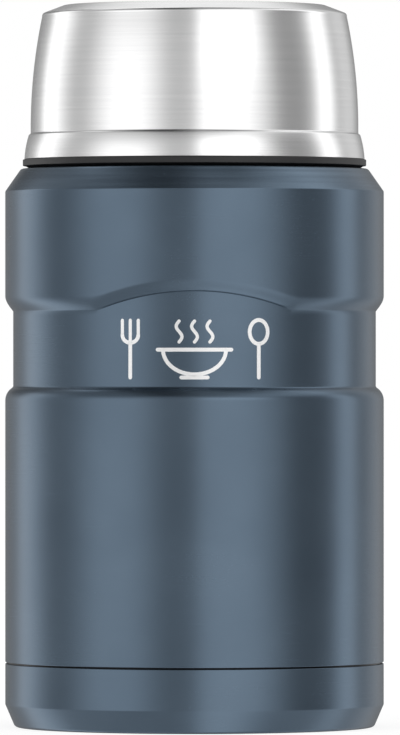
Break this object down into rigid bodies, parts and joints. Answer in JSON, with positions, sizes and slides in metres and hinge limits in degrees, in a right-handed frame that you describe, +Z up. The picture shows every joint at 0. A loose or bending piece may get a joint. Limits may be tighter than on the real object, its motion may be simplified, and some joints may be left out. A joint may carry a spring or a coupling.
{
  "type": "insulated food jar",
  "caption": "Wide-mouthed vacuum-insulated food jar with a waisted steel body, a screw-in stopper and a screw-on steel cup that serves as a bowl.",
  "frame": {"origin": "centre of the flat foot", "axes": "+Z up along the axis of the jar, -Y towards the raised arch at the front, +X to the right seen from the front"},
  "size_m": [0.1, 0.1, 0.1907],
  "materials": {
    "blue_paint": "satin slate blue enamel",
    "brushed_steel": "turned and brushed round the axis",
    "bare_steel": "plain satin",
    "black_plastic": "fine moulded texture",
    "silicone": "soft matte grey",
    "foam": "closed-cell foam",
    "foil": "bright foil",
    "braze": "braze metal",
    "getter": "pressed metal powder"
  },
  "bodies": {
    "jar": {"outer_shell": "blue_paint", "inner_vessel": "bare_steel", "end_plate": "bare_steel", "seal_bead": "braze", "getter_clip": "bare_steel", "getter_pellet": "getter", "foil_disc": "foil", "foil_sleeve": "foil", "base_cap": "blue_paint"},
    "stopper_seal": {"stopper_gasket": "silicone"},
    "stopper": {"stopper_body": "black_plastic", "stopper_cap": "black_plastic", "stopper_foam": "foam"},
    "cup_liner": {"cup_bowl": "bare_steel"},
    "cup": {"cup_shell": "brushed_steel", "cup_ring": "black_plastic"}
  },
  "joints": [
    {"name": "stopper_lift", "type": "slide", "parent": "jar", "child": "stopper_seal", "axis": [0, 0, 1], "range_m": [0, 0.036]},
    {"name": "stopper_turn", "type": "hinge", "parent": "stopper_seal", "child": "stopper", "pos_m": [0, 0, 0.16], "axis": [0, 0, 1], "range_deg": [0, 1080]},
    {"name": "cup_lift", "type": "slide", "parent": "stopper", "child": "cup_liner", "axis": [0, 0, 1], "range_m": [0, 0.036]},
    {"name": "cup_turn", "type": "hinge", "parent": "cup_liner", "child": "cup", "pos_m": [0, 0, 0.16], "axis": [0, 0, 1], "range_deg": [0, 1080]}
  ],
  "couplings": [
    {"joint": "stopper_lift", "follows": "stopper_turn", "m_per_rad": 0.0019099},
    {"joint": "cup_lift", "follows": "cup_turn", "m_per_rad": 0.0019099}
  ]
}
